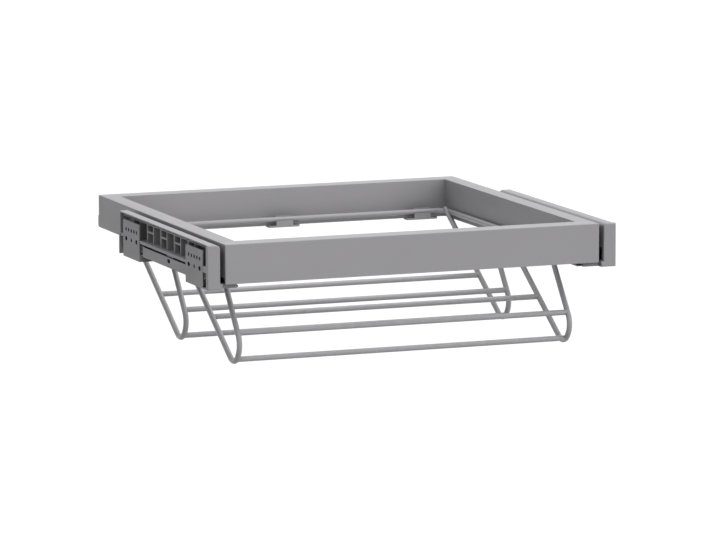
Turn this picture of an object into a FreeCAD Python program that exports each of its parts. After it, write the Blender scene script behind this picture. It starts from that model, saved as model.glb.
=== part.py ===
"""Pull-out wire shoe drawer on a pair of concealed runners.

A rectangular rail frame carries a wire ring on clips, and two rows of hanging wire
loops with cross wires hang from the ring. The frame rides on three-part runners
whose brackets screw to the two side walls of a cupboard.

X runs across the opening from the left wall, Y runs towards the back and Z is up.
The origin is on the left wall, at the middle of the front bracket's lower holes.
Each piece is drawn from the left wall, the frame's front face and its top face.
"""
import FreeCAD, Part
import math
import os
import Sketcher
from types import SimpleNamespace

FOLDER = "parts"

# Every driving size, in millimetres
NUMBERS = {
    # Frame of rails
    "opening": 564,
    "side_space": 24,
    "frame_depth": 500,
    "rail_height": 43.4,
    "front_width": 27,
    "side_width": 22.6,
    "skirt_drop": 7.6,
    "skirt_thick": 2,
    "rail_wall": 2.4,
    "corner_round": 1.2,
    "edge_round": 1,
    "lip_top": 28,
    "lip_height": 14,
    "lip_proud": 1.5,
    # Wire basket
    "wire": 7.2,
    "ring_depth": 41,
    "ring_side_space": 4.3,
    "ring_end_space": 13.5,
    "ring_corner": 14,
    "loop_inset": 29.1,
    "heel_gap": 4.5,
    "front_row_reach": 211.5,
    "heel_depth": 37.6,
    "toe_run": 208,
    "toe_depth": 167,
    "nose_reach": 19.6,
    "nose_rise": 33.9,
    "front_leg_run": 157.9,
    "front_leg_depth": 46,
    "toe_bend": 21.5,
    "nose_bend": 20,
    "heel_wire_run": 121.4,
    "nose_wire_run": 217,
    "toe_wire_depth": 154.5,
    "toe_wire_shift": 2.3,
    # Ring clips
    "clip_arm": 24,
    "clip_span": 46,
    "clip_seat_span": 34,
    "clip_plate": 2.4,
    "clip_wall": 1.6,
    "clip_gap": 0.1,
    "clip_lip": 1.2,
    "clip_inset": 63,
    "clip_offset": 7,
    "clip_riser": 2.4,
    "ear_drop": 7.9,
    "ear_depth": 12,
    "ear_round": 5,
    "seat_depth": 9,
    "screw_shank": 3.5,
    "screw_head": 6.6,
    "screw_head_height": 1.2,
    "screw_length": 16,
    "screw_fit": 0.1,
    "pilot_depth": 10,
    # Runner housings on the walls
    "cover_width": 17.5,
    "cover_top": 0.6,
    "cover_drop": 33,
    "cover_sheet": 1.8,
    "cover_round": 5,
    "housing_length": 349,
    "housing_bottom": 57.4,
    "cap_face": 6.3,
    "cap_round": 1.5,
    "cap_floor": 2,
    "cap_foot_inset": 12,
    "cap_foot_width": 20.6,
    "cap_foot_height": 7.5,
    "cap_foot_length": 12,
    "cap_tongue": 5,
    "cap_tab": 8,
    "rear_cap_face": 3.5,
    "rear_cap_step": 30,
    "rear_cap_setback": 1.4,
    "rear_cap_rib": 10.5,
    "part_gap": 0.2,
    # Wall brackets
    "bracket_front": 17.5,
    "bracket_length": 65,
    "bracket_back_space": 21.5,
    "bracket_top": 8.7,
    "bracket_sheet": 2.2,
    "foot_sheet": 2,
    "foot_reach": 47.6,
    "gusset_sheet": 2,
    "gusset_reach": 20,
    "hole_row_depth": 20.5,
    "slot_row_depth": 33,
    "hole_pitch": 10.4,
    "slot_pitch": 40.8,
    "hole_size": 5.4,
    "slot_size": 5.6,
    "slot_length": 8.6,
    # Moulded insert and tie bar between the brackets
    "insert_wall": 1.6,
    "insert_top": 4.5,
    "insert_recess": 3.5,
    "insert_flange": 4,
    "insert_bottom": 33.1,
    "face_setback": 0.4,
    "lug_length": 24,
    "cell_count": 5,
    "cell_first": 63,
    "cell_pitch": 53,
    "cell_width": 24,
    "cell_rib": 3,
    "cell_bar_depth": 14.1,
    "cell_bar_height": 2.6,
    "tie_top": 35.6,
    "tie_bottom": 49,
    "tie_sheet": 1.6,
    "tie_width": 9,
    "tie_overlap": 24,
    "tie_rear_gap": 12,
    "tie_hole_back": 149,
    "tie_hole_depth": 40.4,
    "tie_hole_size": 5,
    "tie_hole_length": 11,
    # Three-part runners under the side rails
    "runner_sheet": 1.5,
    "drawer_rail_inset": 0.5,
    "drawer_rail_width": 19.9,
    "middle_head": 4.2,
    "middle_wall": 1.2,
    "middle_front": 28,
    "runner_back_space": 8,
    "track_width": 16,
    "track_height": 4.4,
    "track_front": 28,
    "glide_gap": 0.3,
    "glide_pad": 0.9,
    "glide_length": 30,
    "glide_inset": 6,
    "glide_spacing": 120,
    "catch_front": 8.7,
    "catch_width": 21.6,
    "catch_overhang": 3,
    "catch_stem_inset": 6,
}

doc = FreeCAD.newDocument("ShoeDrawer")
sheet = doc.addObject("Spreadsheet::Sheet", "Sizes")
pieces = []


class Size:
    """A length with its number and the expression that it comes from."""

    def __init__(self, number, text):
        self.number = number
        self.text = text

    def __add__(self, other):
        other = as_size(other)
        return Size(self.number + other.number, "(%s + %s)" % (self.text, other.text))

    def __sub__(self, other):
        other = as_size(other)
        return Size(self.number - other.number, "(%s - %s)" % (self.text, other.text))

    def __mul__(self, other):
        other = as_size(other)
        return Size(self.number * other.number, "%s * %s" % (self.text, other.text))

    def __truediv__(self, other):
        other = as_size(other)
        return Size(self.number / other.number, "%s / %s" % (self.text, other.text))

    def __neg__(self):
        return Size(-self.number, "(-%s)" % self.text)


def as_size(value):
    return value if isinstance(value, Size) else Size(float(value), repr(float(value)))


size = SimpleNamespace()
for row, (alias, number) in enumerate(NUMBERS.items(), start=1):
    sheet.set("A%d" % row, alias)
    sheet.set("B%d" % row, str(number))
    sheet.setAlias("B%d" % row, alias)
    setattr(size, alias, Size(float(number), "Sizes." + alias))

# Places worked out from the sizes above
zero = Size(0.0, "0")
frame_left = size.side_space
frame_right = size.opening - size.side_space
side_inner = size.side_space + size.side_width
back_inner = size.frame_depth - size.front_width
ring_left = side_inner + size.ring_side_space
ring_front = size.front_width + size.ring_end_space
ring_back = back_inner - size.ring_end_space
loop_plane = size.side_space + size.loop_inset
runner_middle = size.side_space + size.drawer_rail_inset + size.drawer_rail_width / 2
skirt_bottom = size.rail_height + size.skirt_drop
housing_back = size.housing_length
cover_start = size.bracket_sheet + size.part_gap
rear_bracket = housing_back - size.bracket_back_space - size.bracket_length
runner_back = housing_back - size.runner_back_space
foot_top = size.housing_bottom - size.foot_sheet
bracket_middle = size.bracket_front + size.bracket_length / 2
middle_width = size.drawer_rail_width - (size.runner_sheet + size.glide_gap + size.glide_pad) * 2
middle_neck = size.track_width - (size.runner_sheet + size.glide_gap + size.glide_pad) * 2


def bind(thing, property_name, value):
    thing.setExpression(property_name, as_size(value).text)


def new_body(label):
    """A body drawn from the left wall, the frame's front face and its top face."""
    body = doc.addObject("PartDesign::Body", label)
    body.Label = label
    bind(body, "Placement.Base.y", -bracket_middle)
    bind(body, "Placement.Base.z", size.slot_row_depth)
    return body


def new_sketch(body, name, plane, place):
    """A sketch on one of the body's own planes, moved along the third axis to place."""
    support = [flat for flat in body.Origin.OriginFeatures if flat.Role == plane + "_Plane"][0]
    flat = body.newObject("Sketcher::SketchObject", name)
    flat.AttachmentSupport = [(support, "")]
    flat.MapMode = "FlatFace"
    bind(flat, "AttachmentOffset.Base.z", -place if plane == "XZ" else place)
    return flat


def hold_point(flat, line, end, across, up):
    """Holds a point of a sketch at its two coordinates."""
    for kind, axis, value in (("DistanceX", -2, across), ("DistanceY", -1, up)):
        value = as_size(value)
        if value.number == 0:
            flat.addConstraint(Sketcher.Constraint("PointOnObject", line, end, axis))
            continue
        index = flat.addConstraint(Sketcher.Constraint(kind, -1, 1, line, end, value.number))
        bind(flat, "Constraints[%d]" % index, value)


def draw_outline(flat, corners):
    """Draws a closed outline of straight lines through the corners."""
    first = flat.GeometryCount
    spots = [FreeCAD.Vector(as_size(x).number, as_size(y).number, 0) for x, y in corners]
    count = len(corners)
    for step in range(count):
        flat.addGeometry(Part.LineSegment(spots[step], spots[(step + 1) % count]))
    for step in range(count):
        joined = first + (step + 1) % count
        flat.addConstraint(Sketcher.Constraint("Coincident", first + step, 2, joined, 1))
        hold_point(flat, first + step, 1, *corners[step])


def draw_box(flat, left, right, low, high):
    draw_outline(flat, [(left, low), (right, low), (right, high), (left, high)])


def draw_circle(flat, across, up, diameter):
    centre = FreeCAD.Vector(as_size(across).number, as_size(up).number, 0)
    circle = flat.addGeometry(Part.Circle(centre, FreeCAD.Vector(0, 0, 1), diameter.number / 2))
    hold_point(flat, circle, 3, across, up)
    index = flat.addConstraint(Sketcher.Constraint("Radius", circle, diameter.number / 2))
    bind(flat, "Constraints[%d]" % index, diameter / 2)


def draw_slot(flat, across, up, length, width):
    """Draws a slot with round ends that runs along the sketch's first axis."""
    across, up = as_size(across), as_size(up)
    reach = (length - width) / 2
    radius = width / 2
    axis = FreeCAD.Vector(0, 0, 1)
    right = Part.Circle(FreeCAD.Vector((across + reach).number, up.number, 0), axis, radius.number)
    left = Part.Circle(FreeCAD.Vector((across - reach).number, up.number, 0), axis, radius.number)
    turn = math.pi / 2
    ends = [flat.addGeometry(Part.ArcOfCircle(right, -turn, turn)),
            flat.addGeometry(Part.ArcOfCircle(left, turn, 3 * turn))]
    high = up.number + radius.number
    low = up.number - radius.number
    top = flat.addGeometry(Part.LineSegment(FreeCAD.Vector((across + reach).number, high, 0),
                                            FreeCAD.Vector((across - reach).number, high, 0)))
    bottom = flat.addGeometry(Part.LineSegment(FreeCAD.Vector((across - reach).number, low, 0),
                                               FreeCAD.Vector((across + reach).number, low, 0)))
    hold_point(flat, ends[0], 3, across + reach, up)
    hold_point(flat, ends[1], 3, across - reach, up)
    for line, end, arc, arc_end in ((top, 1, ends[0], 2), (top, 2, ends[1], 1),
                                    (bottom, 1, ends[1], 2), (bottom, 2, ends[0], 1)):
        flat.addConstraint(Sketcher.Constraint("Tangent", line, end, arc, arc_end))
    index = flat.addConstraint(Sketcher.Constraint("Radius", ends[0], radius.number))
    bind(flat, "Constraints[%d]" % index, radius)


def extrude(body, name, plane, start, finish, draw):
    """Pads what draw() puts in a sketch from start to finish along the third axis."""
    flat = new_sketch(body, name + "Sketch", plane, as_size(start))
    draw(flat)
    pad = body.newObject("PartDesign::Pad", name)
    pad.Profile = flat
    pad.Reversed = plane == "XZ"
    bind(pad, "Length", as_size(finish) - start)
    body.Tip = pad
    return pad


def cut(body, name, plane, start, finish, draw):
    """Pockets what draw() puts in a sketch from start to finish along the third axis."""
    flat = new_sketch(body, name + "Sketch", plane, as_size(start))
    draw(flat)
    pocket = body.newObject("PartDesign::Pocket", name)
    pocket.Profile = flat
    pocket.Reversed = plane != "XZ"
    bind(pocket, "Length", as_size(finish) - start)
    body.Tip = pocket
    return pocket


def round_edges(body, name, chosen, radius):
    """Rounds the edges of the body for which chosen(edge) holds."""
    doc.recompute()
    base = body.Tip
    edges = ["Edge%d" % (number + 1) for number, edge in enumerate(base.Shape.Edges) if chosen(edge)]
    fillet = body.newObject("PartDesign::Fillet", name)
    fillet.Base = (base, edges)
    bind(fillet, "Radius", radius)
    body.Tip = fillet


def runs_along(edge, direction):
    """Whether a straight edge runs along a direction."""
    if edge.Curve.TypeId != "Part::GeomLine":
        return False
    return abs(edge.Curve.Direction.dot(FreeCAD.Vector(*direction))) > 0.999


def near(number, value):
    return abs(number - as_size(value).number) < 0.01


def pipe(body, name, plane, place, draw, thickness):
    """A round wire swept along the path that draw() puts in a sketch."""
    path = new_sketch(body, name + "Path", plane, place)
    draw(path)
    doc.recompute()
    section = body.newObject("Sketcher::SketchObject", name + "Section")
    section.AttachmentSupport = [(path, "Edge1")]
    section.MapMode = "NormalToEdge"
    circle = section.addGeometry(Part.Circle(FreeCAD.Vector(), FreeCAD.Vector(0, 0, 1), thickness.number / 2))
    section.addConstraint(Sketcher.Constraint("Coincident", circle, 3, -1, 1))
    index = section.addConstraint(Sketcher.Constraint("Radius", circle, thickness.number / 2))
    bind(section, "Constraints[%d]" % index, thickness / 2)
    swept = body.newObject("PartDesign::AdditivePipe", name)
    swept.Profile = section
    swept.Spine = path
    swept.Mode = "Frenet"
    body.Tip = swept


def draw_path(flat, corners, bends, closed=False):
    """Draws straight lines along the corners, with a bend of a given radius at each corner.

    A closed path starts and ends at its first point, which has no bend of its own.
    """
    spots = [FreeCAD.Vector(as_size(x).number, as_size(y).number, 0) for x, y in corners]
    if closed:
        spots.append(spots[0])
    last = len(spots) - 1
    arrivals, departures = [spots[0]], [spots[0]]
    for step in range(1, last):
        back = (spots[step - 1] - spots[step]).normalize()
        ahead = (spots[step + 1] - spots[step]).normalize()
        reach = bends[step - 1].number / math.tan(back.getAngle(ahead) / 2)
        arrivals.append(spots[step] + back * reach)
        departures.append(spots[step] + ahead * reach)
    arrivals.append(spots[last])
    lines = [flat.addGeometry(Part.LineSegment(departures[step], arrivals[step + 1]))
             for step in range(last)]
    hold_point(flat, lines[0], 1, *corners[0])
    if closed:
        flat.addConstraint(Sketcher.Constraint("Coincident", lines[-1], 2, lines[0], 1))
    else:
        hold_point(flat, lines[-1], 2, *corners[-1])
    for step in range(1, last):
        corner = flat.addGeometry(Part.Point(spots[step]), True)
        hold_point(flat, corner, 1, *corners[step])
        for line in (lines[step - 1], lines[step]):
            flat.addConstraint(Sketcher.Constraint("PointOnObject", corner, 1, line))
        add_bend(flat, lines[step - 1], lines[step], arrivals[step], departures[step],
                 spots[step], bends[step - 1])


def add_bend(flat, line, next_line, arrival, departure, corner, radius):
    """Joins two lines by an arc that touches both."""
    middle = (arrival + departure) / 2
    inward = (middle - corner).normalize()
    centre = corner + inward * math.hypot(radius.number, (arrival - corner).Length)
    turns_left = (corner - arrival).cross(departure - corner).z > 0
    first, second = (arrival, departure) if turns_left else (departure, arrival)
    start = math.atan2(first.y - centre.y, first.x - centre.x)
    finish = math.atan2(second.y - centre.y, second.x - centre.x)
    circle = Part.Circle(centre, FreeCAD.Vector(0, 0, 1), radius.number)
    arc = flat.addGeometry(Part.ArcOfCircle(circle, start, finish))
    flat.addConstraint(Sketcher.Constraint("Tangent", line, 2, arc, 1 if turns_left else 2))
    flat.addConstraint(Sketcher.Constraint("Tangent", next_line, 1, arc, 2 if turns_left else 1))
    index = flat.addConstraint(Sketcher.Constraint("Radius", arc, radius.number))
    bind(flat, "Constraints[%d]" % index, radius)


def keep(piece):
    """Hands a finished piece in under its label."""
    pieces.append(piece)
    return piece


def mirror(piece, label):
    """The same piece on the size.opening's other side."""
    twin = doc.addObject("Part::Mirroring", label)
    twin.Label = label
    twin.Source = piece
    twin.Normal = FreeCAD.Vector(1, 0, 0)
    bind(twin, "Base.x", size.opening / 2)
    return keep(twin)


def both_sides(make):
    """Makes a left-hand piece and its right-hand twin."""
    left = keep(make())
    mirror(left, left.Label.replace("left", "right"))
    return left


# Rails of the frame
def make_front_rail():
    """Front rail, open underneath, whose front skirt hides the runners and the clips."""
    body = new_body("front_rail")
    extrude(body, "FrontBeam", "XZ", zero, size.front_width,
            lambda flat: draw_box(flat, frame_left, frame_right, -size.rail_height, zero))
    extrude(body, "FrontSkirt", "XZ", zero, size.skirt_thick,
            lambda flat: draw_box(flat, frame_left, frame_right, -skirt_bottom, -size.rail_height))
    round_edges(body, "FrontCorners",
                lambda edge: runs_along(edge, (0, 0, 1)) and near(edge.CenterOfMass.y, 0), size.corner_round)
    round_edges(body, "FrontTopEdge",
                lambda edge: on_top(edge) and not near(edge.BoundBox.YMin, size.front_width), size.edge_round)
    hollow_from_below(body, "Front", size.rail_wall, size.front_width - size.rail_wall)
    drill_for_clips(body, size.front_width - screw_setback())
    return keep(body)


def on_top(edge):
    return near(edge.BoundBox.ZMin, 0) and near(edge.BoundBox.ZMax, 0)


def hollow_from_below(body, name, low, high):
    """Cuts the chambers between the seats of the clips, open at the rail's underside."""
    seats = clip_middles()
    half = size.clip_seat_span / 2
    edges = [(side_inner, seats[0] - half), (seats[0] + half, seats[1] - half),
             (seats[1] + half, seats[2] - half), (seats[2] + half, size.opening - side_inner)]
    for number, (left, right) in enumerate(edges):
        cut(body, "%sChamber%d" % (name, number), "XY", -size.rail_height, -size.rail_wall,
            lambda flat: draw_box(flat, left, right, low, high))


def drill_for_clips(body, back):
    """Drills the holes that the clips' screws bite in."""
    def draw(flat):
        for middle in clip_middles():
            for across in screw_places(middle):
                draw_circle(flat, across, back, size.screw_shank + size.screw_fit * 2)

    cut(body, "ScrewHoles", "XY", -size.rail_height, -size.rail_height + size.pilot_depth, draw)


def make_rear_rail():
    """Rear rail, open underneath, with its skirt on the inside and a lip at the back."""
    body = new_body("rear_rail")
    extrude(body, "RearBeam", "XZ", back_inner, size.frame_depth,
            lambda flat: draw_box(flat, frame_left, frame_right, -size.rail_height, zero))
    round_edges(body, "RearCorners",
                lambda edge: runs_along(edge, (0, 0, 1)) and near(edge.CenterOfMass.y, size.frame_depth),
                size.corner_round)
    round_edges(body, "RearTopEdge",
                lambda edge: on_top(edge) and not near(edge.BoundBox.YMax, back_inner), size.edge_round)
    skirt_left = side_inner - size.skirt_thick
    extrude(body, "RearSkirt", "XZ", back_inner, back_inner + size.skirt_thick,
            lambda flat: draw_box(flat, skirt_left, size.opening - skirt_left,
                                  -skirt_bottom, -size.rail_height))
    hollow_from_below(body, "Rear", back_inner + size.rail_wall, size.frame_depth - size.rail_wall)
    drill_for_clips(body, back_inner + screw_setback())
    extrude(body, "RearLip", "XZ", size.frame_depth - size.corner_round, size.frame_depth + size.lip_proud,
            lambda flat: draw_box(flat, frame_left, frame_right,
                                  -size.lip_top - size.lip_height, -size.lip_top))
    return keep(body)


def make_side_rail():
    """Side rail between the front and the rear one, with a chamber and a skirt on the inside."""
    body = new_body("side_rail_left")
    extrude(body, "SideBeam", "XZ", size.front_width, back_inner,
            lambda flat: draw_box(flat, frame_left, side_inner, -size.rail_height, zero))
    cut(body, "SideChamber", "XY", -size.rail_height, -size.rail_wall,
        lambda flat: draw_box(flat, frame_left + size.rail_wall, side_inner - size.rail_wall,
                              size.front_width + size.rail_wall, back_inner - size.rail_wall))
    extrude(body, "SideSkirt", "XZ", size.front_width, back_inner,
            lambda flat: draw_box(flat, side_inner - size.skirt_thick, side_inner,
                                  -skirt_bottom, -size.rail_height))
    round_edges(body, "SideTopEdge",
                lambda edge: on_top(edge) and near(edge.CenterOfMass.x, frame_left), size.edge_round)
    return body


# Wire basket
def make_ring():
    """Ring of wire that the loops hang from, with bent corners."""
    body = new_body("wire_ring")

    def draw(flat):
        right = size.opening - ring_left
        draw_path(flat, [((ring_left + right) / 2, ring_front), (right, ring_front),
                         (right, ring_back), (ring_left, ring_back), (ring_left, ring_front)],
                  [size.ring_corner] * 4, closed=True)

    pipe(body, "Ring", "XY", -size.ring_depth, draw, size.wire)
    return keep(body)


def loop_corners(heel_end):
    """Corners of a loop's path, as places along Y and up Z, from its heel end's place."""
    toe = heel_end - size.toe_run
    return [(heel_end, -size.heel_depth), (toe, -size.toe_depth),
            (toe - size.nose_reach, size.nose_rise - size.toe_depth),
            (heel_end - size.front_leg_run, -size.front_leg_depth)]


def make_loop(row, heel_end, ring):
    """Wire loop of one row: heel leg, toe bend, nose bend and front leg, coped at the ring."""
    body = new_body("%s_loop_bar" % row)
    pipe(body, row.capitalize() + "Loop", "YZ", loop_plane,
         lambda flat: draw_path(flat, loop_corners(heel_end), [size.toe_bend, size.nose_bend]),
         size.wire)
    coped = doc.addObject("Part::Cut", "%s_loop_left" % row)
    coped.Label = "%s_loop_left" % row
    coped.Base = body
    coped.Tool = ring
    return body, coped


def height_on(start, end, across):
    """Height of the straight line between two corners, at a place along Y."""
    slope = (end[1] - start[1]) / (end[0] - start[0])
    return start[1] + slope * (across - start[0])


def make_cross_wires(row, heel_end, loop_bars):
    """Three straight wires of one row, coped where they meet the two loops."""
    heel, toe, nose, front_end = loop_corners(heel_end)
    heel_wire = heel_end - size.heel_wire_run
    nose_wire = heel_end - size.nose_wire_run
    toe_line = toe[0] - size.nose_reach / size.nose_rise * (size.toe_depth - size.toe_wire_depth)
    toe_wire = toe_line + size.toe_wire_shift
    places = {"heel": (heel_wire, height_on(heel, toe, heel_wire)),
              "nose": (nose_wire, height_on(nose, front_end, nose_wire)),
              "toe": (toe_wire, -size.toe_wire_depth)}
    for name, (back, height) in places.items():
        body = new_body("%s_%s_wire_bar" % (row, name))
        extrude(body, "Straight", "YZ", loop_plane, size.opening - loop_plane,
                lambda flat: draw_circle(flat, back, height, size.wire))
        coped = doc.addObject("Part::Cut", "%s_%s_wire" % (row, name))
        coped.Label = "%s_%s_wire" % (row, name)
        coped.Base = body
        coped.Tool = loop_bars
        keep(coped)


def make_basket():
    ring = make_ring()
    heel_ends = {"rear": ring_back - size.heel_gap, "front": ring_front + size.front_row_reach}
    for row, heel_end in heel_ends.items():
        bar, left = make_loop(row, heel_end, ring)
        keep(left)
        mirror(left, "%s_loop_right" % row)
        far_bar = doc.addObject("Part::Mirroring", "%s_far_bar" % row)
        far_bar.Source = bar
        far_bar.Normal = FreeCAD.Vector(1, 0, 0)
        bind(far_bar, "Base.x", size.opening / 2)
        both = doc.addObject("Part::Compound", "%s_both_bars" % row)
        both.Links = [bar, far_bar]
        make_cross_wires(row, heel_end, both)


# Clips that hold the ring
def clip_middles():
    middle = size.opening / 2 - size.clip_offset
    return [frame_left + size.clip_inset, middle, frame_right - size.clip_inset]


def make_clip(label, middle, row):
    """Moulded clip: a plate screwed under the rail, a shelf with two ears and a cradle for the wire."""
    body = new_body(label)
    inward = 1 if row == "front" else -1
    wire_middle = ring_front if row == "front" else ring_back
    rail_face = size.front_width if row == "front" else back_inner
    top = -skirt_bottom - size.part_gap
    bottom = top - size.clip_plate
    shelf = -size.rail_height - size.ear_drop
    shelf_top = shelf + size.clip_plate
    collar = size.wire / 2 + size.clip_gap + size.clip_wall
    reach = size.ring_end_space + collar

    def block(name, first, second, low, high, width, make=extrude):
        """A block between two distances from the rail's inner face towards the basket."""
        ends = sorted((rail_face + first * inward, rail_face + second * inward), key=lambda end: end.number)
        left, right = middle - width / 2, middle + width / 2
        make(body, name, "XZ", ends[0], ends[1], lambda flat: draw_box(flat, left, right, low, high))

    seat, arm = size.clip_seat_span, size.clip_arm
    block("Plate", -size.seat_depth, size.part_gap + size.clip_riser, bottom, top, seat)
    block("Seat", -size.seat_depth, -size.skirt_thick - size.part_gap, top, -size.rail_height, seat)
    block("Riser", size.part_gap, size.part_gap + size.clip_riser, top, shelf_top, arm)
    block("Shelf", size.part_gap, reach, shelf, shelf_top, arm)
    block("Ears", reach - size.ear_depth, reach, shelf, shelf_top, size.clip_span)
    round_edges(body, "EarCorners",
                lambda edge: runs_along(edge, (0, 0, 1))
                and near(abs(edge.CenterOfMass.x - middle.number), size.clip_span / 2), size.ear_round)
    block("Arm", size.ring_end_space - collar, reach, shelf_top, -size.ring_depth, arm)
    extrude(body, "Collar", "YZ", middle - arm / 2, middle + arm / 2,
            lambda flat: draw_circle(flat, wire_middle, -size.ring_depth, collar * 2))
    cut(body, "WireSeat", "YZ", middle - arm, middle + arm,
        lambda flat: draw_circle(flat, wire_middle, -size.ring_depth, size.wire + size.clip_gap * 2))
    block("CradleMouth", size.ring_end_space, reach + collar, -size.ring_depth - size.clip_lip,
          collar - size.ring_depth, arm * 2, cut)
    for number, across in enumerate(screw_places(middle)):
        screw_back = rail_face - screw_setback() * inward
        cut(body, "ScrewHole%d" % number, "XY", bottom, -size.rail_height,
            lambda flat: draw_circle(flat, across, screw_back, size.screw_shank + size.screw_fit * 2))
        cut(body, "HeadRecess%d" % number, "XY", bottom, bottom + size.screw_head_height + size.part_gap,
            lambda flat: draw_circle(flat, across, screw_back, size.screw_head + size.screw_fit * 4))
    return keep(body)


def screw_places(middle):
    """Places across the rail of a clip's two screws."""
    offset = size.clip_seat_span / 2 - size.screw_head
    return middle - offset, middle + offset


def screw_setback():
    """Distance of a clip's screws from the rail's inner face."""
    return (size.seat_depth + size.skirt_thick) / 2


def make_clip_screws():
    """All the clips' screws, as one group of equal fasteners."""
    group = []
    head_low = size.slot_row_depth - skirt_bottom - size.clip_plate
    for row, place in (("front", size.front_width - screw_setback()), ("rear", back_inner + screw_setback())):
        for number, middle in enumerate(clip_middles()):
            for side, across in enumerate(screw_places(middle)):
                name = "Screw_%s_%d_%d" % (row, number, side)
                group.append(make_screw(name, across, place - bracket_middle, head_low))
    screws = doc.addObject("Part::Compound", "clip_screws")
    screws.Label = "clip_screws"
    screws.Links = group
    return keep(screws)


def make_screw(name, across, back, low):
    head = doc.addObject("Part::Cylinder", name + "_head")
    bind(head, "Radius", size.screw_head / 2)
    bind(head, "Height", size.screw_head_height)
    shank = doc.addObject("Part::Cylinder", name + "_shank")
    bind(shank, "Radius", size.screw_shank / 2)
    bind(shank, "Height", size.screw_head_height + size.screw_length)
    for cylinder in (head, shank):
        bind(cylinder, "Placement.Base.x", across)
        bind(cylinder, "Placement.Base.y", back)
        bind(cylinder, "Placement.Base.z", low)
    screw = doc.addObject("Part::Fuse", name)
    screw.Base = head
    screw.Tool = shank
    return screw


# Housings on the walls
def make_cover():
    """Cover profile over the bracket: a top flange and an inner wall with a round edge between."""
    body = new_body("cover_left")
    right, top, bottom = size.cover_width, -size.cover_top, -size.cover_drop
    sheet = size.cover_sheet
    extrude(body, "Cover", "XZ", size.cap_face + size.part_gap, housing_back,
            lambda flat: draw_outline(flat, [
                (cover_start, top), (right, top), (right, bottom), (right - sheet, bottom),
                (right - sheet, top - sheet), (cover_start, top - sheet)]))
    round_edges(body, "CoverEdge",
                lambda edge: runs_along(edge, (0, 1, 0)) and near(edge.CenterOfMass.x, right)
                and near(edge.CenterOfMass.z, top), size.cover_round)
    return body


def inside_cover():
    """Place across of the cover wall's inner face, less the gap to what sits in the cover."""
    return size.cover_width - size.cover_sheet - size.part_gap


def make_front_cap():
    """Front cap: a face over the cover's end, a floor and a foot behind it, a tab and a tongue."""
    body = new_body("front_cap_left")
    face_back, left = size.cap_face, size.part_gap
    right, top = size.cover_width, -size.cover_top
    foot_right, bottom = size.cap_foot_width, -size.housing_bottom
    foot_high = bottom + size.cap_foot_height
    bracket_face = size.bracket_front - size.part_gap
    extrude(body, "CapFace", "XZ", zero, face_back,
            lambda flat: draw_outline(flat, [
                (left, top), (right, top), (right, foot_high),
                (foot_right, foot_high), (foot_right, bottom), (left, bottom)]))
    round_edges(body, "CapShoulder",
                lambda edge: runs_along(edge, (0, 1, 0)) and near(edge.CenterOfMass.x, right)
                and near(edge.CenterOfMass.z, top), size.cover_round)
    round_edges(body, "CapFront",
                lambda edge: near(edge.BoundBox.YMin, 0) and near(edge.BoundBox.YMax, 0), size.cap_round)
    extrude(body, "CapFoot", "XZ", face_back, size.cap_foot_length,
            lambda flat: draw_box(flat, size.cap_foot_inset, foot_right, bottom, foot_high))
    extrude(body, "CapFloor", "XZ", face_back, bracket_face,
            lambda flat: draw_box(flat, left, size.cap_foot_inset, bottom, bottom + size.cap_floor))
    tongue_low = -size.cover_drop
    tongue_high = tongue_low + size.cap_tongue
    extrude(body, "CapTab", "XZ", face_back, bracket_face,
            lambda flat: draw_box(flat, left, cover_start, tongue_high - size.cap_tab, tongue_high))
    extrude(body, "CapTongue", "XZ", face_back, size.bracket_front + size.gusset_sheet,
            lambda flat: draw_box(flat, cover_start, inside_cover(), tongue_low, tongue_high))
    return body


def make_rear_cap():
    """Rear cap that plugs the cover's back end and closes the runner's space below it."""
    body = new_body("rear_cap_left")
    sheet, gap = size.cover_sheet, size.part_gap
    left, right = size.rear_cap_setback, inside_cover()
    bottom = -size.housing_bottom + gap
    top, step = -size.cover_top - sheet - gap, -size.rear_cap_step
    face_start = housing_back - size.rear_cap_face
    extrude(body, "RearCapFace", "XZ", face_start, housing_back,
            lambda flat: draw_outline(flat, [
                (cover_start, top), (right, top), (right, bottom),
                (left, bottom), (left, step), (cover_start, step)]))
    extrude(body, "RearCapRib", "XZ", face_start - size.rear_cap_rib, face_start,
            lambda flat: draw_box(flat, right - sheet, right, bottom, -size.insert_bottom - gap))
    return body


def make_bracket(label, start):
    """Wall bracket: a plate with its rows of holes and a foot under the runner."""
    body = new_body(label)
    sheet, reach = size.bracket_sheet, size.foot_reach
    top, floor, bottom = -size.bracket_top, -foot_top, -size.housing_bottom
    extrude(body, "WallPlate", "XZ", start, start + size.bracket_length,
            lambda flat: draw_outline(flat, [
                (zero, top), (sheet, top), (sheet, floor),
                (reach, floor), (reach, bottom), (zero, bottom)]))
    gusset_starts = start, start + size.bracket_length - size.gusset_sheet
    gusset_top = -size.tie_bottom - size.part_gap
    for number, place in enumerate(gusset_starts):
        extrude(body, "Gusset%d" % number, "XZ", place, place + size.gusset_sheet,
                lambda flat: draw_box(flat, sheet, size.gusset_reach, floor, gusset_top))
    middle = start + size.bracket_length / 2
    upper_row, lower_row = -size.hole_row_depth, -size.slot_row_depth

    def draw_holes(flat):
        for step in range(-2, 3):
            draw_circle(flat, middle + size.hole_pitch * step, upper_row, size.hole_size)
        draw_circle(flat, middle, lower_row, size.hole_size)
        for side in (-1, 1):
            place = middle + size.slot_pitch / 2 * side
            draw_slot(flat, place, lower_row, size.slot_length, size.slot_size)

    cut(body, "ScrewHoles", "YZ", zero, sheet * 2, draw_holes)
    round_edges(body, "PlateCorners",
                lambda edge: runs_along(edge, (1, 0, 0)) and near(edge.CenterOfMass.z, top), sheet)
    return body


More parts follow.
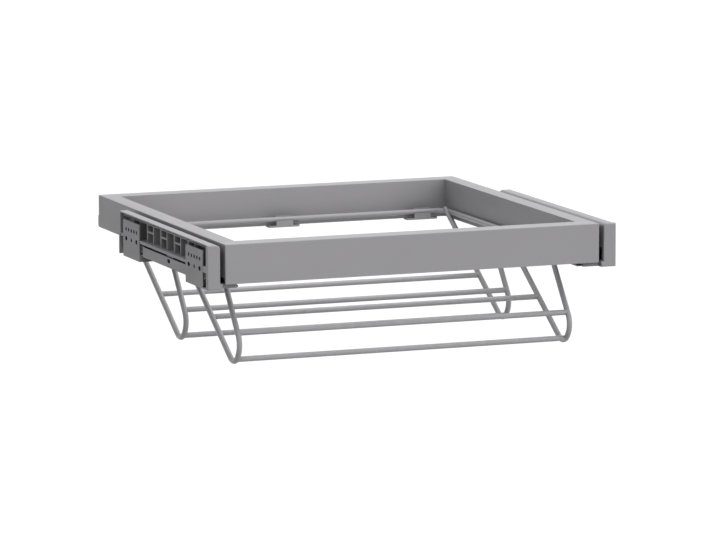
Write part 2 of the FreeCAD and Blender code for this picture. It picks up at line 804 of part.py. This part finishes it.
def make_insert():
    """Moulded insert in the cover: ribbed cells that open to the wall."""
    body = new_body("insert_left")
    gap, wall = size.part_gap, size.insert_wall
    left, right = size.bracket_sheet + gap, inside_cover()
    top, bottom = -size.insert_top, -size.insert_bottom
    floor = bottom + size.insert_flange
    rib_left = left + size.insert_recess
    start = size.bracket_front + size.gusset_sheet + gap
    extrude(body, "InsertWeb", "XZ", start, housing_back - size.rear_cap_face - gap,
            lambda flat: draw_outline(flat, [
                (rib_left, top), (right, top), (right, bottom), (left, bottom), (left, floor),
                (right - wall, floor), (right - wall, top - wall), (rib_left, top - wall)]))
    strip_start = size.bracket_front + size.bracket_length + gap
    extrude(body, "InsertStrip", "XZ", strip_start, rear_bracket - gap,
            lambda flat: draw_box(flat, size.face_setback, left, bottom, floor))
    lug_start = size.tie_hole_back - size.lug_length / 2
    extrude(body, "InsertLug", "XZ", lug_start, lug_start + size.lug_length,
            lambda flat: draw_box(flat, left, right, -size.tie_top + gap, bottom))
    for cell in range(int(size.cell_count.number)):
        cell_start = size.cell_first + size.cell_pitch * cell
        for side, rib in enumerate((cell_start, cell_start + size.cell_width)):
            extrude(body, "Rib%d_%d" % (cell, side), "XZ", rib, rib + size.cell_rib,
                    lambda flat: draw_box(flat, rib_left, right - wall, floor, top - wall))
        bar_top = -size.cell_bar_depth
        extrude(body, "Bar%d" % cell, "XZ", cell_start + size.cell_rib, cell_start + size.cell_width,
                lambda flat: draw_box(flat, rib_left, right - wall, bar_top - size.cell_bar_height, bar_top))
    cut(body, "TongueSlot", "XZ", start, start + size.rear_cap_face,
        lambda flat: draw_box(flat, zero, right - wall, bottom, floor + size.cap_tongue))
    return body


def make_tie_bar():
    """Channel that ties the two brackets together, flush with them between their edges."""
    body = new_body("tie_bar_left")
    left, sheet, right = size.bracket_sheet + size.part_gap, size.tie_sheet, size.tie_width
    top, bottom = -size.tie_top, -size.tie_bottom
    plates_start = size.bracket_front + size.bracket_length
    plates_finish = rear_bracket
    extrude(body, "TieChannel", "XZ", plates_start - size.tie_overlap, plates_finish + size.tie_overlap,
            lambda flat: draw_outline(flat, [
                (left, top), (right, top), (right, top - sheet), (left + sheet, top - sheet),
                (left + sheet, bottom + sheet), (right, bottom + sheet), (right, bottom), (left, bottom)]))
    window_start = plates_finish - size.tie_rear_gap
    extrude(body, "TieFace", "XZ", plates_start + size.part_gap, window_start,
            lambda flat: draw_box(flat, size.face_setback, left, bottom, top))
    cut(body, "TieWindow", "XZ", window_start, plates_finish + size.tie_rear_gap,
        lambda flat: draw_box(flat, zero, left + sheet, bottom + sheet, top - sheet))
    cut(body, "TieHole", "YZ", zero, right,
        lambda flat: draw_slot(flat, size.tie_hole_back, -size.tie_hole_depth,
                               size.tie_hole_length, size.tie_hole_size))
    return body


# Runners
def make_track():
    """Fixed track: a channel that stands on the brackets' feet."""
    body = new_body("track_left")
    left, right = runner_middle - size.track_width / 2, runner_middle + size.track_width / 2
    extrude(body, "Track", "XZ", size.track_front, runner_back,
            lambda flat: draw_channel(flat, left, right, -foot_top, size.track_height, size.runner_sheet, 1))
    return body


def draw_channel(flat, left, right, base, height, thick, upward):
    """Draws a channel whose walls stand up from its base, or hang from it."""
    tip = base + height * upward
    floor = base + thick * upward
    draw_outline(flat, [(left, base), (right, base), (right, tip), (right - thick, tip),
                        (right - thick, floor), (left + thick, floor), (left + thick, tip), (left, tip)])


def make_drawer_rail():
    """Moving rail: a channel fixed under the side rail, open downwards."""
    body = new_body("drawer_rail_left")
    left = frame_left + size.drawer_rail_inset
    extrude(body, "DrawerRail", "XZ", size.front_width + size.part_gap, runner_back,
            lambda flat: draw_channel(flat, left, left + size.drawer_rail_width, -size.rail_height,
                                      size.skirt_drop, size.runner_sheet, -1))
    return body


def make_catch():
    """Front catch: a block under the frame's corner, with a tail that closes against the track."""
    body = new_body("front_catch_left")
    left = frame_left - size.catch_overhang
    right, high = left + size.catch_width, -skirt_bottom
    foot_back = size.bracket_front - size.part_gap
    extrude(body, "CatchStem", "XZ", size.catch_front, size.front_width,
            lambda flat: draw_box(flat, frame_left + size.catch_stem_inset, right, high, -size.rail_height))
    extrude(body, "CatchFoot", "XZ", size.catch_front, foot_back,
            lambda flat: draw_box(flat, left, right, size.glide_gap - size.housing_bottom, high))
    extrude(body, "CatchTail", "XZ", foot_back, size.front_width,
            lambda flat: draw_box(flat, frame_left + size.drawer_rail_inset, right,
                                  size.glide_gap - foot_top, high))
    return body


def middle_levels():
    """Depths of the middle rail's top, shoulder and bottom."""
    top = size.rail_height + size.runner_sheet + size.glide_gap + size.glide_pad
    bottom = foot_top - size.runner_sheet - size.glide_gap - size.glide_pad
    return top, top + size.middle_head, bottom


def make_middle_rail():
    """Middle rail: a closed tube with a wide head in the moving rail and a foot in the track."""
    body = new_body("middle_rail_left")
    top, shoulder, bottom = middle_levels()

    def draw_tee(flat, wall):
        head, neck = middle_width / 2 - wall, middle_neck / 2 - wall
        high, mid, low = -top - wall, -shoulder + wall, -bottom + wall
        draw_outline(flat, [
            (runner_middle - head, high), (runner_middle + head, high), (runner_middle + head, mid),
            (runner_middle + neck, mid), (runner_middle + neck, low), (runner_middle - neck, low),
            (runner_middle - neck, mid), (runner_middle - head, mid)])

    def draw_tube(flat):
        draw_tee(flat, zero)
        draw_tee(flat, size.middle_wall)

    extrude(body, "MiddleRail", "XZ", size.middle_front, runner_back, draw_tube)
    return body


def make_glide(side, place, number):
    """One glide pad, over the middle rail's head or under its foot."""
    top, shoulder, bottom = middle_levels()
    body = new_body("glide_%s_%d" % (side, number))
    if side == "head":
        half, base, upward = middle_width / 2, size.glide_pad - top, -1
        height = size.middle_head
    else:
        half, base, upward = middle_neck / 2, -bottom - size.glide_pad, 1
        height = size.track_height - size.runner_sheet
    reach = half + size.glide_pad
    extrude(body, "Pad", "XZ", place, place + size.glide_length,
            lambda flat: draw_channel(flat, runner_middle - reach, runner_middle + reach,
                                      base, height, size.glide_pad, upward))
    return body


def make_glide_group():
    """The glide pads of one middle rail, as one group."""
    head_place = size.middle_front + size.glide_inset
    foot_place = runner_back - size.glide_inset - size.glide_length
    group = [make_glide("head", head_place, 0), make_glide("head", head_place + size.glide_spacing, 1),
             make_glide("foot", foot_place, 0), make_glide("foot", foot_place - size.glide_spacing, 1)]
    pads = doc.addObject("Part::Compound", "glide_pads_left")
    pads.Label = "glide_pads_left"
    pads.Links = group
    return pads


def make_all():
    make_front_rail()
    make_rear_rail()
    both_sides(make_side_rail)
    make_basket()
    for row in ("front", "rear"):
        for place, middle in zip(("left", "middle", "right"), clip_middles()):
            make_clip("%s_clip_%s" % (row, place), middle, row)
    make_clip_screws()
    both_sides(make_cover)
    both_sides(make_front_cap)
    both_sides(make_rear_cap)
    both_sides(lambda: make_bracket("front_bracket_left", size.bracket_front))
    both_sides(lambda: make_bracket("rear_bracket_left", rear_bracket))
    both_sides(make_insert)
    both_sides(make_tie_bar)
    both_sides(make_track)
    both_sides(make_middle_rail)
    both_sides(make_glide_group)
    both_sides(make_drawer_rail)
    both_sides(make_catch)


def check_and_write():
    """Checks every object and piece, then writes one file for each piece."""
    for thing in doc.Objects:
        if "Invalid" in thing.State or "Error" in thing.State:
            raise RuntimeError("%s failed: %s" % (thing.Name, thing.State))
        if thing.TypeId == "PartDesign::Pocket" and thing.BaseFeature.Shape.Volume <= thing.Shape.Volume:
            raise RuntimeError("%s cuts nothing" % thing.Name)
    for piece in pieces:
        if piece.Shape.isNull() or not piece.Shape.isValid():
            raise RuntimeError("%s has no valid shape" % piece.Label)
    os.makedirs(FOLDER, exist_ok=True)
    for piece in pieces:
        piece.Shape.exportStep(os.path.join(FOLDER, piece.Label + ".step"))


make_all()
doc.recompute()
check_and_write()
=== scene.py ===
"""Looks of the pull-out wire shoe drawer: finishes, soft studio light and the camera."""
import bpy
import math
from mathutils import Matrix, Vector

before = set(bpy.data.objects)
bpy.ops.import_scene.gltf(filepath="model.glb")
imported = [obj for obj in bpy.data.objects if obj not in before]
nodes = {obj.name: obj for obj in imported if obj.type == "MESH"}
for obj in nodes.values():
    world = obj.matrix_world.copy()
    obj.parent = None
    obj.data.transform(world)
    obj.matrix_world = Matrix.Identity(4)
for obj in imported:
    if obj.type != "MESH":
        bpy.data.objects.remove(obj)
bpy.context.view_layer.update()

scene = bpy.context.scene
WHITE = (1.0, 1.0, 1.0, 1.0)


class Graph:
    """Builds one node tree with short calls."""

    def __init__(self, tree):
        self.tree = tree
        tree.nodes.clear()

    def add(self, kind, settings=None, **inputs):
        """Adds a node; an input is a number or another node's output."""
        node = self.tree.nodes.new("ShaderNode" + kind)
        for name, value in (settings or {}).items():
            setattr(node, name, value)
        for name, value in inputs.items():
            self.feed(node.inputs[name.replace("_", " ")], value)
        return node

    def feed(self, socket, value):
        if isinstance(value, bpy.types.NodeSocket):
            self.tree.links.new(value, socket)
        else:
            socket.default_value = value

    def math(self, operation, first, second=0.0, third=0.0, clamp=False):
        node = self.add("Math", {"operation": operation, "use_clamp": clamp})
        for socket, value in zip(node.inputs, (first, second, third)):
            self.feed(socket, value)
        return node.outputs[0]

    def noise(self, place, scale, detail, rough):
        node = self.add("TexNoise", Vector=place, Scale=scale, Detail=detail, Roughness=rough)
        return node.outputs["Fac"]

    def stretched(self, place, scale):
        node = self.add("Mapping", {"vector_type": "POINT"}, Vector=place, Scale=scale)
        return node.outputs[0]

    def remap(self, value, low, high, to_low, to_high):
        node = self.add("MapRange", {"clamp": True})
        for socket, number in zip(node.inputs[:5], (value, low, high, to_low, to_high)):
            self.feed(socket, number)
        return node.outputs[0]

    def mix(self, share, first, second):
        """Mixes two shaders: all of the first where the share is 0, all of the second where it is 1."""
        node = self.add("MixShader")
        for socket, value in zip(node.inputs, (share, first, second)):
            self.feed(socket, value)
        return node.outputs[0]


# What all finishes share; lengths are in metres
TINT = (1.003, 0.983, 1.016)
CLOUD_SCALE = 14.0
SMEAR_STRETCH = (60.0, 9.0, 60.0)
SHARP_EDGES = (0.53, 0.62)
EDGE_WEAR = 0.1
EDGE_POLISH = -0.08
ROUGHNESS_SPREAD = 0.06
# How far the painted shade in corners and gaps looks for closing surfaces, and with how many samples
PAINTED_SHADE_REACH = 0.09
PAINTED_SHADE_SAMPLES = 8
BUMP_STRENGTH = 0.35
BUMP_HEIGHT = 0.0002


def finish_material(name, level, rough, grain=None, grain_depth=0.1, fleck=1800.0, fleck_depth=0.1,
                    cloud=0.02, specular=0.35, painted_shade_depth=0.6, shade=(0.0, 1.0)):
    """A matt finish with grain, flecks, faint clouds, paler worn edges and painted shade that darkens
    corners, gaps and recesses.

    The level is the brightness of its grey. The painted shade depth is how much darker the colour is
    painted where the surface is closed in by other surfaces, between the two values of openness that
    shade gives.
    """
    material = bpy.data.materials.new(name)
    material.use_nodes = True
    graph = Graph(material.node_tree)
    place = graph.add("TexCoord").outputs["Object"]
    clouds = graph.noise(place, CLOUD_SCALE, 4.0, 0.6)
    flecks = graph.noise(place, fleck, 2.0, 0.5)
    smears = graph.noise(graph.stretched(place, SMEAR_STRETCH), 1.0, 5.0, 0.65)

    tone = graph.math("MULTIPLY_ADD", graph.math("SUBTRACT", clouds, 0.5), cloud * 2, 1.0)
    tone = graph.math("ADD", tone, graph.math("MULTIPLY", graph.math("SUBTRACT", flecks, 0.5), cloud))
    edges = graph.remap(graph.add("NewGeometry").outputs["Pointiness"], *SHARP_EDGES, 0.0, 1.0)
    edges = graph.math("MULTIPLY", edges, graph.remap(smears, 0.35, 0.7, 0.2, 1.0))
    tone = graph.math("MULTIPLY_ADD", edges, EDGE_WEAR, tone)
    # Painted shade: the colour is darkened where ambient occlusion finds the surface closed in, in
    # corners, gaps and recesses
    openness = graph.add("AmbientOcclusion", {"samples": PAINTED_SHADE_SAMPLES}, Distance=PAINTED_SHADE_REACH)
    painted_shade_tone = graph.remap(openness.outputs["AO"], *shade, 1.0 - painted_shade_depth, 1.0)
    tone = graph.math("MULTIPLY", tone, painted_shade_tone)
    colour = graph.add("VectorMath", {"operation": "SCALE"}, Scale=tone)
    graph.feed(colour.inputs[0], [level * share for share in TINT])

    roughness = graph.remap(smears, 0.3, 0.7, rough - ROUGHNESS_SPREAD, rough + ROUGHNESS_SPREAD)
    roughness = graph.math("MULTIPLY_ADD", edges, EDGE_POLISH, roughness, clamp=True)
    height = graph.math("MULTIPLY", flecks, fleck_depth)
    if grain:
        lines = graph.noise(graph.stretched(place, grain), 1.0, 3.0, 0.6)
        height = graph.math("MULTIPLY_ADD", lines, grain_depth, height)
    bump = graph.add("Bump", Strength=BUMP_STRENGTH, Distance=BUMP_HEIGHT, Height=height)
    shader = graph.add("BsdfPrincipled", Base_Color=colour.outputs[0], Roughness=roughness,
                       Normal=bump.outputs[0])
    shader.inputs["Specular IOR Level"].default_value = specular
    graph.add("OutputMaterial", Surface=shader.outputs[0])
    return material


# One finish for each material slot; the grain is drawn along the profile
LINES_BACK = (1500.0, 12.0, 1500.0)
LINES_ACROSS = (12.0, 1500.0, 1500.0)
# Brackets and runners get deep painted shade: their colour goes near black where they are closed in, in
# slits and inside the runners
DEEP_SHADE = (0.3, 0.85)
DEEP_PAINTED_SHADE = 0.98
FINISHES = {
    "frame_profile": dict(level=0.45, rough=0.52, grain=LINES_BACK, grain_depth=0.5),
    "coated_wire": dict(level=0.48, rough=0.34, fleck=700.0, fleck_depth=0.5, specular=0.5),
    "clip_plastic": dict(level=0.43, rough=0.5, fleck=2400.0, fleck_depth=0.5),
    "cover_profile": dict(level=0.45, rough=0.5, grain=LINES_BACK, grain_depth=0.5),
    "cap_plastic": dict(level=0.435, rough=0.55, fleck=2600.0, fleck_depth=0.8),
    "insert_plastic": dict(level=0.42, rough=0.55, fleck=2600.0, fleck_depth=0.8),
    "bracket_steel": dict(level=0.425, rough=0.5, fleck=420.0, fleck_depth=0.3, cloud=0.06,
                          specular=0.2, painted_shade_depth=DEEP_PAINTED_SHADE, shade=DEEP_SHADE),
    "runner_steel": dict(level=0.40, rough=0.5, grain=LINES_BACK, grain_depth=0.6, cloud=0.05,
                         specular=0.2, painted_shade_depth=DEEP_PAINTED_SHADE, shade=DEEP_SHADE),
    "glide_plastic": dict(level=0.45, rough=0.4, fleck=2000.0, fleck_depth=0.4),
    "screw_steel": dict(level=0.38, rough=0.36, fleck=1200.0, fleck_depth=0.4, cloud=0.06),
}
CROSS_PROFILES = ("front_rail", "rear_rail")
materials = {name: finish_material(name, **values) for name, values in FINISHES.items()}
across = finish_material("frame_profile_across", **{**FINISHES["frame_profile"], "grain": LINES_ACROSS})

# Softened edges, in metres, on the pieces that aren't round
ROUND_PIECES = ("wire", "loop", "screws", "clip")
EDGE_WIDTH = 0.0003
SAME_POINT = 0.00001
SHARP_ANGLE = math.radians(40)


def soften(piece):
    """Small rounded edges with even shading; the piece's own mesh stays as it is."""
    weld = piece.modifiers.new("Weld", "WELD")
    weld.merge_threshold = SAME_POINT
    bevel = piece.modifiers.new("Edges", "BEVEL")
    bevel.width = EDGE_WIDTH
    bevel.segments = 2
    bevel.limit_method = "ANGLE"
    bevel.angle_limit = SHARP_ANGLE
    bevel.harden_normals = True


for name, piece in nodes.items():
    slot = piece.data.materials[0].name.split(".")[0]
    piece.data.materials.clear()
    piece.data.materials.append(across if name in CROSS_PROFILES else materials[slot])
    if not any(word in name for word in ROUND_PIECES):
        soften(piece)


# Light: a pale room, brighter above, to the right and at both ends, and a large lamp overhead
ROOM_LIGHT = 0.53
ROOM_SLOPE = Vector((0.52, -0.14, 0.29))
FRONT_GLOW = 0.49
BACK_GLOW = 0.24
LAMP_SIZE = 3.0
LAMP_POWER = 16.0
LAMP_PLACE = Vector((1.1, -0.2, 2.6))
LAMP_AIM = Vector((0.28, 0.2, 0.0))
FLOOR_HALF = 60.0
FLOOR_HEIGHT = -0.85
FLOOR_GREY = (0.25, 0.25, 0.25, 1.0)
FLOOR_SEEN = 0.85


def seen_directly(graph):
    """1 for the rays that show the background: from the camera, mirrored or passed through."""
    path = graph.add("LightPath")
    mirrored = graph.math("MAXIMUM", path.outputs["Is Glossy Ray"], path.outputs["Is Transmission Ray"])
    return graph.math("MAXIMUM", path.outputs["Is Camera Ray"], mirrored)


def make_world():
    """The room's light, with a plain white background for the rays that show it."""
    world = bpy.data.worlds.new("Studio")
    scene.world = world
    world.use_nodes = True
    graph = Graph(world.node_tree)
    way = graph.add("TexCoord").outputs["Generated"]
    slope = graph.add("VectorMath", {"operation": "DOT_PRODUCT"})
    graph.feed(slope.inputs[0], way)
    slope.inputs[1].default_value = ROOM_SLOPE
    parts = graph.add("SeparateXYZ")
    graph.feed(parts.inputs[0], way)
    back = parts.outputs["Y"]
    ends = graph.remap(back, -0.001, 0.001, FRONT_GLOW, BACK_GLOW)
    glow = graph.math("MULTIPLY", graph.math("MULTIPLY", back, back), ends)
    strength = graph.math("ADD", graph.math("ADD", slope.outputs["Value"], ROOM_LIGHT), glow)
    light = graph.add("Background", Color=WHITE, Strength=graph.math("MAXIMUM", strength, 0.0))
    plain = graph.add("Background", Color=WHITE, Strength=1.0)
    both = graph.mix(seen_directly(graph), light.outputs[0], plain.outputs[0])
    graph.add("OutputWorld", Surface=both)


def make_lamp():
    """A large soft lamp overhead."""
    data = bpy.data.lights.new("Overhead", "AREA")
    data.shape = "SQUARE"
    data.size = LAMP_SIZE
    data.energy = LAMP_POWER
    lamp = bpy.data.objects.new("Overhead", data)
    lamp.location = LAMP_PLACE
    lamp.rotation_euler = (LAMP_AIM - lamp.location).to_track_quat("-Z", "Y").to_euler()
    scene.collection.objects.link(lamp)


def make_floor():
    """A plain pale floor well below the drawer, which shows from above only."""
    mesh = bpy.data.meshes.new("Floor")
    mesh.from_pydata([(-FLOOR_HALF, -FLOOR_HALF, 0), (FLOOR_HALF, -FLOOR_HALF, 0),
                      (FLOOR_HALF, FLOOR_HALF, 0), (-FLOOR_HALF, FLOOR_HALF, 0)], [], [(0, 1, 2, 3)])
    floor = bpy.data.objects.new("Floor", mesh)
    floor.location.z = FLOOR_HEIGHT
    scene.collection.objects.link(floor)
    material = bpy.data.materials.new("floor")
    material.use_nodes = True
    graph = Graph(material.node_tree)
    matt = graph.add("BsdfDiffuse", Color=FLOOR_GREY)
    glow = graph.add("Emission", Strength=graph.math("MULTIPLY", seen_directly(graph), FLOOR_SEEN))
    pale = graph.add("AddShader")
    graph.feed(pale.inputs[0], matt.outputs[0])
    graph.feed(pale.inputs[1], glow.outputs[0])
    clear = graph.add("BsdfTransparent")
    underside = graph.add("NewGeometry").outputs["Backfacing"]
    graph.add("OutputMaterial", Surface=graph.mix(underside, pale.outputs[0], clear.outputs[0]))
    mesh.materials.append(material)


# Camera of the photograph: angles in radians, place in metres
CAMERA_TURN = 0.37294069
CAMERA_DOWN = 0.15037574
CAMERA_ROLL = -0.00092144
CAMERA_PLACE = (-2.2473, -6.3150, 1.0101)
CAMERA_LENS = 268.386


def make_camera():
    """The photograph's viewing angle, from far away with a long lens."""
    forward = Vector((math.sin(CAMERA_TURN) * math.cos(CAMERA_DOWN),
                      math.cos(CAMERA_TURN) * math.cos(CAMERA_DOWN), -math.sin(CAMERA_DOWN)))
    right = forward.cross(Vector((0, 0, 1))).normalized()
    up = right.cross(forward)
    across_view = right * math.cos(CAMERA_ROLL) + up * math.sin(CAMERA_ROLL)
    up_view = up * math.cos(CAMERA_ROLL) - right * math.sin(CAMERA_ROLL)
    data = bpy.data.cameras.new("Camera")
    data.lens = CAMERA_LENS
    data.clip_start = 0.1
    data.clip_end = 200.0
    camera = bpy.data.objects.new("Camera", data)
    scene.collection.objects.link(camera)
    rotation = Matrix((across_view, up_view, -forward)).transposed()
    camera.matrix_world = Matrix.Translation(CAMERA_PLACE) @ rotation.to_4x4()
    scene.camera = camera


make_world()
make_lamp()
make_floor()
make_camera()
scene.view_settings.view_transform = "Standard"
